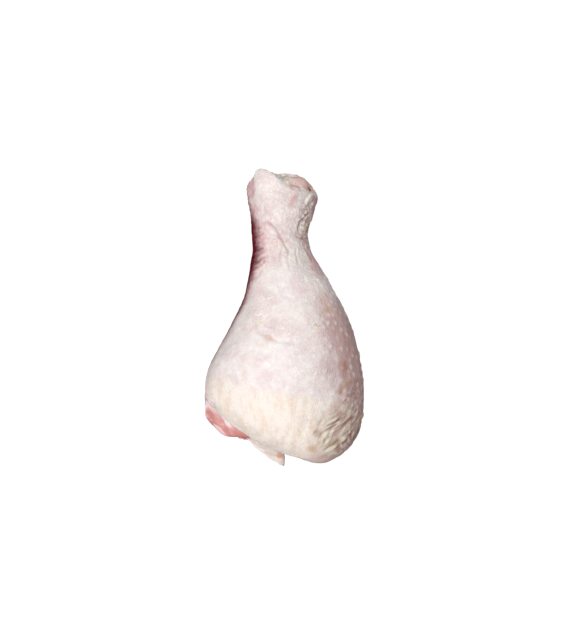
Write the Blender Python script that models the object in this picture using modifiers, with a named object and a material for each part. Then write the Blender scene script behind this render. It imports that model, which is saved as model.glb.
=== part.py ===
"""A raw chicken drumstick, lying on its side on a flat surface.

The skin is a sleeve with two openings: a torn rim round the hock, and a slanted one at the knee,
where the leg was cut from the thigh. The meat fills the sleeve and its calf muscle bulges from the
knee cut. The shin bone runs through the meat, from the knuckle that shows in the hock's rim to the
cartilage head in the knee cut. A tongue of knee cartilage stands out under the skin's edge.

Everything is in metres, with +Z up. The hock points to +Y and the knee to -Y. The origin is the
middle of the bounding box's base.
"""

import math
from typing import NamedTuple

import bmesh
import bpy
from mathutils import Vector

MM = 0.001

# Driving dimensions, in millimetres.
SKIN_THICKNESS = 1.5
CLEARANCE = 0.4  # between two pieces that lie against each other
WAIST_SHARE = 0.45  # how high a section's widest level lies, as a share of its height
SEGMENTS = 18  # corners round a section of the leg
BONE_SEGMENTS = 12
SMOOTH_LEVELS = 1
RIM_WAVES = ((3.6, 2.0), (1.9, 2.2), (-0.8, -0.5), (1.1, -0.4))  # hock rim: cosine, sine of each
MUSCLE_BULGE = 9.0  # how far the calf muscle stands out of the knee cut
MUSCLE_PLACE = 0.22  # its middle, as a share of the cut's length from the left
MUSCLE_REACH = 0.27  # its half length, as the same share
MUSCLE_SHIFT = 17.0  # how far the meat in the cut leans to the left as it draws in
CUT_DROP = 0.3  # how steeply the knee cut faces down, as a share of its way out
CARTILAGE_THICKNESS = 1.8

# A smooth ring runs inside its corners, so they are set out by this ratio.
CORNER_RATIO = 6 / (4 + 2 * math.cos(2 * math.pi / SEGMENTS))


class Section(NamedTuple):
    """One section of the leg in millimetres: its left and right sides as (x, y), the heights of its
    underside and crown, and how far the crown and the underside lean out towards the knee."""

    left: tuple
    right: tuple
    low: float
    crown: float
    crown_lean: float = 0.0
    low_lean: float = 0.0


# From the hock down to the calf the sections lie square to the leg. Past the belly they turn
# about the left side, so that the last one is the slanted rim of the knee cut.
HOCK_RIM = Section((-15.3, 60.4), (14.0, 60.7), 0.5, 26.5)
HOCK_BULGE = Section((-17.9, 56.0), (15.4, 54.2), -1.0, 27.5)
HOCK_BASE = Section((-15.3, 49.6), (13.5, 48.6), -0.5, 27.0)
ANKLE_TOP = Section((-14.6, 43.6), (12.0, 43.0), 1.0, 25.5)
ANKLE = Section((-14.3, 36.6), (10.2, 36.6), 2.0, 24.5)
SHANK = Section((-13.8, 30.1), (11.4, 30.1), 2.5, 25.0)
SHANK_LOW = Section((-14.5, 23.1), (14.7, 23.6), 2.0, 27.5)
CALF_TOP = Section((-15.9, 15.3), (19.8, 15.7), 0.5, 31.5)
CALF = Section((-18.3, 6.5), (24.8, 7.0), -3.5, 36.5)
CALF_LOW = Section((-22.9, -2.6), (29.2, -1.7), -7.6, 40.5)
BELLY_TOP = Section((-28.5, -12.7), (31.6, -11.3), -8.6, 43.5)
BELLY = Section((-32.8, -20.9), (33.6, -20.5), -9.0, 45.0)
BELLY_LOW = Section((-34.0, -25.3), (35.1, -30.5), -8.8, 45.0)
TURN_1 = Section((-34.4, -28.6), (34.9, -41.0), -8.3, 44.0, 0.0, -1.0)
TURN_2 = Section((-34.6, -30.8), (32.9, -51.3), -4.0, 42.0, 0.0, -3.0)
TURN_3 = Section((-34.6, -32.6), (26.4, -59.4), 0.0, 39.5, 0.5, -6.0)
TURN_4 = Section((-34.6, -34.2), (17.6, -64.6), 2.5, 35.0, 1.6, -9.0)
KNEE_RIM = Section((-34.5, -35.5), (9.2, -61.8), 6.0, 26.0, 4.2, -10.0)

SLEEVE = (
    HOCK_RIM, HOCK_BULGE, HOCK_BASE, ANKLE_TOP, ANKLE, SHANK, SHANK_LOW, CALF_TOP, CALF,
    CALF_LOW, BELLY_TOP, BELLY, BELLY_LOW, TURN_1, TURN_2, TURN_3, TURN_4, KNEE_RIM,
)
MEAT_STARTS = SLEEVE.index(ANKLE)


class BoneSection(NamedTuple):
    """One section of the bone in millimetres: its middle, its half width and half height, and how
    deep the groove between its two knuckles is, as a share of the half height."""

    middle: tuple
    half_width: float
    half_height: float
    groove: float = 0.0


BONE = (
    BoneSection((-0.2, 62.5, 9.5), 9.4, 5.4, 0.25),
    BoneSection((-0.4, 58.5, 11.4), 12.2, 8.6, 0.22),
    BoneSection((-0.8, 48.5, 13.2), 11.2, 9.6, 0.10),
    BoneSection((-1.2, 42.5, 13.4), 9.6, 8.6),
    BoneSection((-2.0, 35.0, 13.8), 6.4, 6.2),
    BoneSection((-1.6, 24.0, 15.5), 4.2, 4.2),
    BoneSection((-0.8, 6.0, 18.0), 3.8, 3.8),
    BoneSection((-1.0, -12.0, 19.5), 4.2, 4.2),
    BoneSection((-2.5, -28.0, 18.0), 5.4, 5.4),
    BoneSection((-4.6, -38.0, 15.5), 7.8, 7.0),
    BoneSection((-6.2, -45.0, 12.8), 8.2, 6.8),
    BoneSection((-6.8, -48.5, 11.4), 5.4, 4.6),
)

# The tongue of knee cartilage, seen from above, from its root under the skin round to its tip.
CARTILAGE_OUTLINE = (
    (-16.4, -51.6), (-15.3, -53.6), (-11.6, -57.4), (-8.3, -59.8), (-5.2, -62.1), (-2.5, -63.9),
    (-0.2, -65.2), (0.6, -64.8), (0.7, -60.0), (-1.0, -55.4), (-8.0, -51.2), (-13.6, -49.4),
)
CARTILAGE_HEIGHT = 17.0


def clear_scene():
    for old in list(bpy.data.objects):
        bpy.data.objects.remove(old, do_unlink=True)


def new_collection(name):
    collection = bpy.data.collections.new(name)
    bpy.context.scene.collection.children.link(collection)
    return collection


def new_material(name, colour, roughness):
    material = bpy.data.materials.new(name)
    material.use_nodes = True
    shader = material.node_tree.nodes["Principled BSDF"]
    shader.inputs["Base Color"].default_value = (*colour, 1.0)
    shader.inputs["Roughness"].default_value = roughness
    shader.inputs["Metallic"].default_value = 0.0
    material.diffuse_color = (*colour, 1.0)
    return material


def rim_rise(angle):
    """How far the torn rim of the hock falls back towards the knee at an angle round it."""
    return sum(
        cosine * math.cos(wave * angle) + sine * math.sin(wave * angle)
        for wave, (cosine, sine) in enumerate(RIM_WAVES, start=1)
    )


def section_ring(section, wave=0.0):
    """The corners of one section, from its right side over the crown to the left and back below."""
    left, right = Vector(section.left), Vector(section.right)
    middle, half = (left + right) / 2, (right - left) / 2 * CORNER_RATIO
    outward = Vector((half.y, -half.x)).normalized()
    waist = section.low + WAIST_SHARE * (section.crown - section.low)
    ring = []
    for corner in range(SEGMENTS):
        angle = 2 * math.pi * corner / SEGMENTS
        across, up = math.cos(angle), math.sin(angle)
        reach = section.crown - waist if up > 0 else waist - section.low
        lean = section.crown_lean if up > 0 else -section.low_lean
        place = middle + half * across + outward * (lean * up * abs(up) + wave * rim_rise(angle))
        height = max(0.0, waist + reach * up * CORNER_RATIO)
        ring.append(Vector((place.x, place.y, height)) * MM)
    return ring


def sleeve_rings():
    rings = [section_ring(HOCK_RIM, 1.0), section_ring(HOCK_BULGE, 0.4)]
    return rings + [section_ring(section) for section in SLEEVE[2:]]


def centre_of(ring):
    return sum(ring, Vector()) / len(ring)


def shrunk(ring, share, shift):
    """A copy of the ring drawn in to a share of its size and moved."""
    centre = centre_of(ring)
    return [centre + (corner - centre) * share + shift for corner in ring]


def cut_direction():
    """The way out of the knee cut: square to its rim seen from above, and partly down."""
    along = Vector(KNEE_RIM.right) - Vector(KNEE_RIM.left)
    return Vector((along.y, -along.x, -CUT_DROP * along.length)).normalized()


def flesh_height(corner):
    """How far the meat stands out of the knee cut at this corner: highest over the calf muscle, and
    flat towards the underside."""
    left, right = Vector(KNEE_RIM.left), Vector(KNEE_RIM.right)
    along = right - left
    place = (Vector(corner[:2]) / MM - left).dot(along) / along.length_squared
    off_middle = min(1.0, abs(place - MUSCLE_PLACE) / MUSCLE_REACH)
    share_up = (corner.z / MM - KNEE_RIM.low) / (KNEE_RIM.crown - KNEE_RIM.low)
    return MUSCLE_BULGE * math.sqrt(1 - off_middle**2) * min(1.0, max(0.0, 2.5 * share_up))


def bulged(ring, share, lift, rise):
    """A ring drawn in to a share of its size, and lifted out of the cut by the flesh's height."""
    to_left = Vector((*KNEE_RIM.left, 0.0)) - Vector((*KNEE_RIM.right, 0.0))
    shift = to_left.normalized() * MUSCLE_SHIFT * (1 - share) + cut_direction() * rise
    drawn = shrunk(ring, share, shift * MM)
    return [corner + cut_direction() * flesh_height(corner) * lift * MM for corner in drawn]


def meat_rings():
    rings = sleeve_rings()[MEAT_STARTS:]
    start, knee = rings[0], rings.pop()
    up_the_leg = Vector((0.0, 1.0, 0.0))
    top = [shrunk(start, 0.55, up_the_leg * 3.0 * MM), shrunk(start, 0.85, up_the_leg * 2.0 * MM)]
    dome = [
        bulged(knee, 0.94, 0.0, -0.5),
        bulged(knee, 0.88, 0.6, 0.5),
        bulged(knee, 0.66, 0.95, 0.9),
        bulged(knee, 0.36, 1.0, 1.2),
    ]
    return top + rings + dome


def bone_ring(section):
    ring = []
    for corner in range(BONE_SEGMENTS):
        angle = 2 * math.pi * corner / BONE_SEGMENTS
        across, up = math.cos(angle), math.sin(angle)
        height = section.half_height * (1 - section.groove * (1 - abs(across)))
        offset = Vector((section.half_width * across, 0.0, height * up))
        ring.append((Vector(section.middle) + offset) * MM)
    return ring


def grow_ring(mesh, corners, ring):
    """Extrudes the open edge through these corners to the next ring, and returns its corners."""
    rim = set(corners)
    edges = [edge for edge in mesh.edges if edge.verts[0] in rim and edge.verts[1] in rim]
    made = bmesh.ops.extrude_edge_only(mesh, edges=edges)["geom"]
    fresh = {item for item in made if isinstance(item, bmesh.types.BMVert)}
    grown = []
    for corner in corners:
        links = (edge.other_vert(corner) for edge in corner.link_edges)
        grown.append(next(other for other in links if other in fresh))
    for corner, place in zip(grown, ring):
        corner.co = place
    return grown


def loft(name, rings, closed):
    """A mesh through the rings, extruded from one to the next, with its ends filled if closed."""
    mesh = bmesh.new()
    corners = bmesh.ops.create_circle(mesh, segments=len(rings[0]), radius=MM)["verts"]
    for corner, place in zip(corners, rings[0]):
        corner.co = place
    for ring in rings[1:]:
        corners = grow_ring(mesh, corners, ring)
    if closed:
        bmesh.ops.holes_fill(mesh, edges=[edge for edge in mesh.edges if edge.is_boundary], sides=0)
    bmesh.ops.recalc_face_normals(mesh, faces=mesh.faces)
    data = bpy.data.meshes.new(name)
    mesh.to_mesh(data)
    mesh.free()
    data.shade_smooth()
    return bpy.data.objects.new(name, data)


def smooth(obj):
    modifier = obj.modifiers.new("Smooth form", "SUBSURF")
    modifier.levels = modifier.render_levels = SMOOTH_LEVELS


def grow(obj, distance):
    """Moves the surface out along its normals by a distance in millimetres, or in if negative."""
    modifier = obj.modifiers.new("Offset", "DISPLACE")
    modifier.mid_level = 0.0
    modifier.strength = distance * MM


def cut(obj, cutter):
    modifier = obj.modifiers.new(f"Room for {cutter.name}", "BOOLEAN")
    modifier.operation = "DIFFERENCE"
    modifier.object = cutter


def make_skin():
    skin = loft("skin", sleeve_rings(), closed=False)
    smooth(skin)
    wall = skin.modifiers.new("Skin thickness", "SOLIDIFY")
    wall.thickness = SKIN_THICKNESS * MM
    wall.offset = -1.0
    skin.data.materials.append(new_material("skin", (0.82, 0.70, 0.65), 0.45))
    return skin


def make_meat(cutters):
    meat = loft("meat", meat_rings(), closed=True)
    smooth(meat)
    grow(meat, -(SKIN_THICKNESS + CLEARANCE))
    for cutter in cutters:
        cut(meat, cutter)
    meat.data.materials.append(new_material("meat", (0.72, 0.33, 0.31), 0.35))
    return meat


def make_bone(name):
    bone = loft(name, [bone_ring(section) for section in BONE], closed=True)
    smooth(bone)
    bone.data.materials.append(new_material(name, (0.80, 0.66, 0.58), 0.40))
    return bone


def make_cartilage(name):
    """A flat tongue, drawn as an outline and given its thickness."""
    outline = bpy.data.curves.new(name, "CURVE")
    outline.dimensions = "2D"
    outline.fill_mode = "BOTH"
    outline.extrude = CARTILAGE_THICKNESS / 2 * MM
    spline = outline.splines.new("POLY")
    spline.points.add(len(CARTILAGE_OUTLINE) - 1)
    for point, (x, y) in zip(spline.points, CARTILAGE_OUTLINE):
        point.co = (x * MM, y * MM, 0.0, 1.0)
    spline.use_cyclic_u = True
    curve = bpy.data.objects.new(name + "_outline", outline)
    bpy.context.scene.collection.objects.link(curve)
    bpy.context.view_layer.update()
    flat = bpy.data.meshes.new_from_object(curve.evaluated_get(bpy.context.evaluated_depsgraph_get()))
    bpy.data.objects.remove(curve)
    mesh = bmesh.new()
    mesh.from_mesh(flat)
    bmesh.ops.remove_doubles(mesh, verts=mesh.verts, dist=0.01 * MM)
    bmesh.ops.translate(mesh, verts=mesh.verts, vec=(0.0, 0.0, CARTILAGE_HEIGHT * MM))
    mesh.to_mesh(flat)
    mesh.free()
    flat.name = name
    tongue = bpy.data.objects.new(name, flat)
    tongue.data.materials.append(new_material(name, (0.86, 0.82, 0.78), 0.30))
    return tongue


def as_cutter(obj, collection):
    grow(obj, CLEARANCE)
    obj.hide_render = True
    obj.display_type = "WIRE"
    collection.objects.link(obj)
    return obj


def base_centre(objects):
    """The middle of the base of the box round the finished solids."""
    bpy.context.view_layer.update()
    graph = bpy.context.evaluated_depsgraph_get()
    corners = [Vector(corner) for obj in objects for corner in obj.evaluated_get(graph).bound_box]
    low = [min(corner[axis] for corner in corners) for axis in range(3)]
    high = [max(corner[axis] for corner in corners) for axis in range(3)]
    return Vector(((low[0] + high[0]) / 2, (low[1] + high[1]) / 2, low[2]))


def main():
    clear_scene()
    drumstick = new_collection("chicken_drumstick")
    helpers = new_collection("cutters")
    cutters = [
        as_cutter(make_bone("bone_room"), helpers),
        as_cutter(make_cartilage("cartilage_room"), helpers),
    ]
    pieces = [
        make_skin(), make_meat(cutters), make_bone("shin_bone"), make_cartilage("knee_cartilage")
    ]
    for piece in pieces:
        drumstick.objects.link(piece)
    centre = base_centre(pieces)
    for obj in pieces + cutters:
        obj.location -= centre


main()
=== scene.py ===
"""Finishes the raw chicken drumstick: skin, meat, bone ends, knee cartilage, and a plain stage.

The leg's sections are the solid's own. Lengths are in millimetres in the tables below, measured
in the leg's own plan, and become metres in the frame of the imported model.
"""

import math
from typing import NamedTuple

import bmesh
import bpy
from bpy.props import FloatProperty, FloatVectorProperty, IntProperty, PointerProperty
from mathutils import Matrix, Vector, kdtree, noise


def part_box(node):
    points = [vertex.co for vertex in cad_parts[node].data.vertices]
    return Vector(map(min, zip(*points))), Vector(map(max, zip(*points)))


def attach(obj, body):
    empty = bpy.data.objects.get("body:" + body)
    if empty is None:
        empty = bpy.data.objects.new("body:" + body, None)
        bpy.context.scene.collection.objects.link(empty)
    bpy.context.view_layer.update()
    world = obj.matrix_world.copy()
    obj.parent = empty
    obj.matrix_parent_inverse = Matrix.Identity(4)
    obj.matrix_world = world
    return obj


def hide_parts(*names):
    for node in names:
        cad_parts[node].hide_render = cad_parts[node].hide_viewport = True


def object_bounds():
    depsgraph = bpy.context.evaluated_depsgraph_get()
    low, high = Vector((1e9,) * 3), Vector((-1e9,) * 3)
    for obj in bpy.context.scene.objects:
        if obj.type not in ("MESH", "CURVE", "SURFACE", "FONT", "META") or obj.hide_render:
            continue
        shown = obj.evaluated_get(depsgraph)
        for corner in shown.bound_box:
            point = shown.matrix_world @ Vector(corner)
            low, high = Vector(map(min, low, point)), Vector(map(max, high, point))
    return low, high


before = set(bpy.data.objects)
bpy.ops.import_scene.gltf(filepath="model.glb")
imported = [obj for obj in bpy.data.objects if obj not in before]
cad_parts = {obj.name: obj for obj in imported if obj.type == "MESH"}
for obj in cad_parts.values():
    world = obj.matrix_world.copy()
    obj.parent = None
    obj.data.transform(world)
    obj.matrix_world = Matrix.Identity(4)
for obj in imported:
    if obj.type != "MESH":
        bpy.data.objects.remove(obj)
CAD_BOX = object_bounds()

bl_info = {
    "name": "Raw chicken drumstick",
    "version": (1, 0, 0),
    "blender": (4, 5, 0),
    "location": "3D View > Sidebar > Drumstick",
    "description": "Builds the skin, meat, bone and cartilage of a raw chicken drumstick",
    "category": "Object",
}

MM = 0.001
SEGMENTS = 18
BONE_SEGMENTS = 16
CORNER_RATIO = 6 / (4 + 2 * math.cos(2 * math.pi / SEGMENTS))
WAIST_SHARE = 0.45
RIM_WAVES = ((3.6, 2.0), (1.9, 2.2), (-0.8, -0.5), (1.1, -0.4))

# The tongue of knee cartilage, seen from above. Its lowest corner ties the plan to the frame.
TONGUE_OUTLINE = (
    (-16.4, -51.6), (-15.3, -53.6), (-11.6, -57.4), (-8.3, -59.8), (-5.2, -62.1), (-2.5, -63.9),
    (-0.2, -65.2), (0.6, -64.8), (0.7, -60.0), (-1.0, -55.4), (-8.0, -51.2), (-13.6, -49.4),
)
TONGUE_HEIGHT = 17.0
TONGUE_LOW_CORNER = Vector((-16.4, -65.2, 16.1))
PLAN_ORIGIN = Vector(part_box("knee_cartilage")[0]) - TONGUE_LOW_CORNER * MM


class Section(NamedTuple):
    """One section of the leg: its left and right sides as (x, y), the heights of its underside and
    crown, and how far the crown and the underside lean out towards the knee."""

    left: tuple
    right: tuple
    low: float
    crown: float
    crown_lean: float = 0.0
    low_lean: float = 0.0


SLEEVE = (
    Section((-15.3, 60.4), (14.0, 60.7), 0.5, 26.5),
    Section((-17.9, 56.0), (15.4, 54.2), -1.0, 27.5),
    Section((-15.3, 49.6), (13.5, 48.6), -0.5, 27.0),
    Section((-14.6, 43.6), (12.0, 43.0), 1.0, 25.5),
    Section((-14.3, 36.6), (10.2, 36.6), 2.0, 24.5),
    Section((-13.8, 30.1), (11.4, 30.1), 2.5, 25.0),
    Section((-14.5, 23.1), (14.7, 23.6), 2.0, 27.5),
    Section((-15.9, 15.3), (19.8, 15.7), 0.5, 31.5),
    Section((-18.3, 6.5), (24.8, 7.0), -3.5, 36.5),
    Section((-22.9, -2.6), (29.2, -1.7), -7.6, 40.5),
    Section((-28.5, -12.7), (31.6, -11.3), -8.6, 43.5),
    Section((-32.8, -20.9), (33.6, -20.5), -9.0, 45.0),
    Section((-34.0, -25.3), (35.1, -30.5), -8.8, 45.0),
    Section((-34.4, -28.6), (34.9, -41.0), -8.3, 44.0, 0.0, -1.0),
    Section((-34.6, -30.8), (32.9, -51.3), -4.0, 42.0, 0.0, -3.0),
    Section((-34.6, -32.6), (26.4, -59.4), 0.0, 39.5, 0.5, -6.0),
    Section((-34.6, -34.2), (17.6, -64.6), 2.5, 35.0, 1.6, -9.0),
    Section((-34.5, -35.5), (9.2, -61.8), 6.0, 26.0, 4.2, -10.0),
)
HOCK_RIM, KNEE_RIM = SLEEVE[0], SLEEVE[-1]
MEAT_STARTS = 4
MUSCLE_SHIFT = 17.0
# The muscle's domed end: each ring's size, its share of the bulge, and its way out of the cut.
DOME_RINGS = ((0.94, 0.0, -0.5), (0.88, 0.6, 0.5), (0.66, 0.95, 0.9), (0.36, 1.0, 1.2))
SHREDS_LEFT = (-19.8, -48.5)
SHREDS_WIDTH = 3.4
KNEE_LEFT = Vector(KNEE_RIM.left)
CUT_ALONG = (Vector(KNEE_RIM.right) - KNEE_LEFT).normalized()
CUT_LENGTH = (Vector(KNEE_RIM.right) - KNEE_LEFT).length
CUT_OUTWARD = Vector((CUT_ALONG.y, -CUT_ALONG.x))
OUT_OF_HOCK = Vector((0.0, 1.0, 0.0))
OUT_OF_KNEE = Vector((*CUT_OUTWARD, -0.3)).normalized()


class BoneSection(NamedTuple):
    """One section of the bone: its middle, half width and half height, and how deep the groove
    between its two knuckles is, as a share of the half height."""

    middle: tuple
    half_width: float
    half_height: float
    groove: float = 0.0


BONE = (
    BoneSection((-0.2, 62.5, 9.5), 9.4, 5.4, 0.25),
    BoneSection((-0.4, 58.5, 11.4), 12.2, 8.6, 0.22),
    BoneSection((-0.8, 48.5, 13.2), 11.2, 9.6, 0.10),
    BoneSection((-1.2, 42.5, 13.4), 9.6, 8.6),
    BoneSection((-2.0, 35.0, 13.8), 6.4, 6.2),
    BoneSection((-1.6, 24.0, 15.5), 4.2, 4.2),
    BoneSection((-0.8, 6.0, 18.0), 3.8, 3.8),
    BoneSection((-1.0, -12.0, 19.5), 4.2, 4.2),
    BoneSection((-2.5, -28.0, 18.0), 5.4, 5.4),
    BoneSection((-4.6, -38.0, 15.5), 7.8, 7.0),
    BoneSection((-6.2, -45.0, 12.8), 8.2, 6.8),
    BoneSection((-6.8, -48.5, 11.4), 5.4, 4.6),
)


class Fold(NamedTuple):
    """A crease (or a raised fold, with a negative depth) along a path in the plan."""

    path: tuple
    width: float
    depth: float
    shoulder: float = 0.4


FOLDS = (
    # The arc over the shank.
    Fold(
        ((-11.3, 41.9), (-7.0, 41.4), (-3.9, 39.3), (-1.7, 34.9), (0.0, 32.3), (1.7, 29.7), (3.1, 27.9)),
        0.5, 0.35, 0.6,
    ),
    # The knobbly folds to the right of it.
    Fold(
        ((12.2, 49.3), (11.3, 46.2), (9.6, 44.5), (8.7, 43.2), (7.0, 41.9), (6.5, 40.1), (6.5, 38.0),
         (7.0, 36.2)),
        0.42, 0.6, 0.4,
    ),
    Fold(((10.9, 41.0), (10.4, 38.6), (10.6, 35.5)), 0.35, 0.55),
    Fold(((4.8, 35.2), (7.9, 34.5), (10.5, 34.7)), 0.4, 0.4),
    Fold(((7.2, 34.0), (9.0, 31.2), (10.3, 28.0)), 0.38, 0.35),
    Fold(((8.3, 34.5), (10.9, 32.0)), 0.35, 0.35),
    Fold(((9.6, 30.0), (11.1, 26.8), (12.8, 24.0)), 0.38, 0.3),
    Fold(((11.6, 44.6), (10.4, 42.4), (9.0, 40.6)), 0.35, 0.4),
    # Faint upright wrinkles under the arc.
    Fold(((-0.4, 31.5), (-1.6, 27.0), (-1.2, 21.4)), 0.45, 0.2),
    Fold(((2.4, 30.0), (1.6, 26.0), (2.6, 20.0)), 0.45, 0.2),
    Fold(((5.4, 31.0), (5.0, 28.0), (6.8, 22.0)), 0.45, 0.25),
    # Fine ridges that run out of the dark strip at the left of the shank.
    Fold(((-13.8, 37.6), (-11.0, 38.4), (-8.0, 37.0)), 0.45, -0.3),
    Fold(((-13.6, 35.0), (-11.0, 35.8), (-8.0, 37.0)), 0.45, 0.3),
    Fold(((-13.6, 31.2), (-11.0, 32.0), (-8.7, 33.4)), 0.45, -0.35),
    Fold(((-14.0, 29.2), (-11.4, 29.4), (-8.2, 31.2)), 0.4, 0.4),
    Fold(((-13.6, 25.4), (-11.3, 26.2), (-6.1, 29.7)), 0.5, -0.35),
    Fold(((-14.0, 24.0), (-11.3, 24.2), (-7.0, 27.6)), 0.4, 0.35),
    Fold(((-13.8, 22.4), (-11.5, 22.7), (-7.4, 26.6)), 0.45, -0.3),
    Fold(((-14.4, 19.4), (-12.2, 20.1), (-7.0, 24.4)), 0.5, -0.35),
    Fold(((-15.0, 16.0), (-12.0, 17.6), (-8.4, 21.4)), 0.5, 0.2),
    # The crease below the lobe at the hock's left, and the light fold in its right corner.
    Fold(((-18.0, 50.6), (-15.6, 51.4)), 0.5, 0.4),
    Fold(((13.1, 55.4), (10.9, 51.9), (9.2, 48.4)), 0.5, -0.7, 0.3),
    Fold(((14.0, 53.0), (12.2, 50.4), (10.6, 47.6)), 0.4, 0.4),
    # The dent on the calf, and the wet little arcs by it.
    Fold(((-12.0, -4.6), (-9.8, -7.0), (-6.4, -9.0), (-1.0, -10.2)), 0.8, 0.2, 0.3),
    Fold(((-5.0, -9.8), (1.3, -10.8), (8.0, -11.2)), 0.6, 0.12),
    Fold(((-9.6, -2.2), (-7.6, -4.6), (-4.4, -4.8)), 0.4, -0.42),
    Fold(((-6.6, -1.0), (-5.0, -3.4), (-6.0, -5.6), (-3.4, -7.4)), 0.4, -0.42),
    Fold(((-9.8, -5.4), (-7.4, -7.4), (-4.4, -8.6)), 0.4, -0.4),
    # The wrinkles low on the calf.
    Fold(((-6.4, -20.6), (-3.4, -22.6), (0.6, -23.6), (3.6, -25.6)), 0.4, -0.42),
    Fold(((-5.0, -23.4), (-2.4, -25.4), (1.6, -26.4)), 0.4, -0.25),
    Fold(((-10.6, -18.0), (-7.2, -18.6), (-4.2, -20.6)), 0.4, -0.2),
    Fold(((-8.6, -22.4), (-6.0, -25.0), (-3.0, -27.6)), 0.4, -0.2),
    # The curl round the grey patch at the lower right.
    Fold(((23.4, -33.4), (24.4, -30.6), (26.4, -28.0), (29.4, -26.6), (31.4, -27.4)), 0.4, -0.25),
    Fold(((25.2, -37.6), (27.6, -33.0), (30.4, -29.6)), 0.4, 0.15),
    # The deeper folds of the lower right.
    Fold(((16.6, -55.2), (18.8, -50.8), (21.4, -45.4)), 0.5, 0.4, 0.6),
    Fold(((16.2, -57.6), (22.2, -53.6), (27.9, -48.4)), 0.5, 0.4, 0.6),
    Fold(((12.0, -51.0), (14.6, -46.6), (17.0, -42.0)), 0.5, 0.25, 0.6),
    Fold(((21.0, -57.0), (26.4, -53.4), (30.6, -47.4)), 0.5, 0.35, 0.6),
    Fold(((20.0, -48.6), (23.6, -43.4), (26.4, -39.6)), 0.45, 0.3, 0.6),
    Fold(((26.0, -47.0), (29.6, -42.6), (31.6, -38.0)), 0.4, 0.25, 0.6),
)


class Patch(NamedTuple):
    """An oval patch in the plan: its middle, half sizes and turn in degrees."""

    x: float
    y: float
    along: float
    across: float
    turn: float = 0.0


RIDGED_PATCH = Patch(23.0, -48.5, 17.5, 12.5, 55.0)
FINE_FLANK = Patch(29.0, -36.0, 16.0, 5.0, 80.0)
CALF_WRINKLES = Patch(-3.6, -22.0, 11.0, 6.5, -25.0)
LUMPS = (
    (Patch(8.9, 39.4, 3.0, 1.5, 84.0), 0.9),
    (Patch(11.2, 43.0, 2.2, 1.2, 60.0), 0.7),
    (Patch(9.0, 36.6, 1.6, 1.0, 30.0), 0.5),
    (Patch(6.0, 44.6, 2.6, 1.6, 50.0), 0.35),
    (Patch(-8.6, 62.0, 4.0, 2.8, 80.0), 0.3),
    (Patch(33.6, -42.4, 2.4, 1.6, 80.0), 1.0),
    (Patch(27.4, -33.6, 5.2, 4.0, 70.0), 0.5),
)
# How wide and how strong the bruised strip along the left edge is, by the height in the plan.
BRUISE = (
    (58.0, 0.5, 0.0), (51.0, 0.9, 0.5), (45.0, 1.4, 0.7), (41.5, 2.9, 1.0), (36.0, 3.8, 1.0),
    (32.0, 3.2, 1.0), (29.5, 4.4, 1.0), (24.0, 4.4, 1.0), (20.0, 2.3, 1.0), (14.0, 1.3, 0.9),
    (4.0, 0.9, 0.8), (-10.0, 0.7, 0.65), (-20.0, 0.6, 0.5), (-28.0, 0.5, 0.0),
)
DARK_SPOTS = (
    Patch(-13.2, 29.6, 3.4, 1.5, 5.0),
    Patch(-13.4, 40.8, 3.2, 1.8, 70.0),
    Patch(-13.2, 23.6, 3.2, 1.8, 20.0),
)
BLUSH_PATCHES = (
    Patch(-10.2, 33.0, 17.0, 5.4, 82.0),
    Patch(-13.2, 46.0, 10.0, 3.2, 88.0),
    Patch(-15.4, 56.4, 7.4, 3.4, 86.0),
    Patch(4.4, 50.6, 6.5, 3.4, 60.0),
    Patch(13.4, 49.6, 7.0, 2.0, 78.0),
    Patch(-1.2, 34.6, 5.4, 1.5, -60.0),
    Patch(-7.6, 40.6, 4.2, 1.6, -10.0),
    Patch(13.0, 24.0, 14.0, 3.2, 115.0),
)
PINK_PATCHES = (
    Patch(-9.0, 30.0, 12.0, 6.5, 86.0),
    Patch(-10.0, 13.0, 10.0, 5.0, 96.0),
    Patch(9.0, 47.0, 9.0, 5.0, 75.0),
)
LILAC_PATCHES = (
    Patch(-8.0, -24.0, 8.0, 4.4, -10.0),
    Patch(17.0, -24.0, 14.0, 9.0, 100.0),
    Patch(22.0, -8.0, 14.0, 6.0, 110.0),
    Patch(-4.0, -5.0, 6.0, 4.0, -40.0),
)
RUST_PATCHES = (
    Patch(13.9, 50.0, 6.6, 2.0, 80.0),
    Patch(25.8, -22.0, 11.0, 3.4, 102.0),
    Patch(24.4, -30.6, 4.6, 2.4, 60.0),
    Patch(21.0, -44.0, 9.0, 4.0, 55.0),
)
GREY_PATCHES = (
    Patch(30.2, -34.0, 10.0, 6.5, 78.0),
    Patch(29.4, -17.0, 16.0, 6.0, 105.0),
    Patch(30.0, -46.0, 10.0, 6.0, 65.0),
)
# The first patch is painted shade below the dent on the calf.
TAN_PATCHES = (
    Patch(-6.4, -8.2, 4.6, 1.5, -30.0),
    Patch(12.4, -55.8, 5.4, 3.0, 15.0),
    Patch(18.8, 3.4, 4.0, 2.2, 120.0),
    Patch(15.9, 7.9, 1.4, 1.0),
    Patch(32.4, -43.6, 4.0, 1.2, 84.0),
    Patch(25.2, -30.4, 4.6, 1.0, 60.0),
    Patch(-1.4, 31.6, 3.0, 1.0, -60.0),
    Patch(16.6, -52.0, 6.0, 1.4, 55.0),
)
# The fourth patch, at the hock's right corner, is a painted highlight on the skin's fold.
CREAM_PATCHES = (
    Patch(-11.4, -1.8, 2.2, 1.7),
    Patch(14.2, -3.0, 2.6, 2.2),
    Patch(20.4, -54.0, 6.0, 3.4, 30.0),
    Patch(9.8, 54.0, 2.2, 1.4, 30.0),
    Patch(9.2, 38.6, 4.6, 2.0, 85.0),
)
QUILLS = (
    ((13.5, -2.6), (14.4, -3.6), (15.5, -3.0)),
    ((15.7, 8.4), (16.3, 6.2)),
    ((19.2, 4.9), (19.6, 2.6)),
    ((23.6, -32.2), (25.2, -30.2), (26.4, -28.2), (29.2, -26.7)),
    ((17.6, 10.6), (18.2, 9.6)),
)
KNOBBLY_PATCH = Patch(9.8, 40.0, 16.0, 6.0, 84.0)
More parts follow.
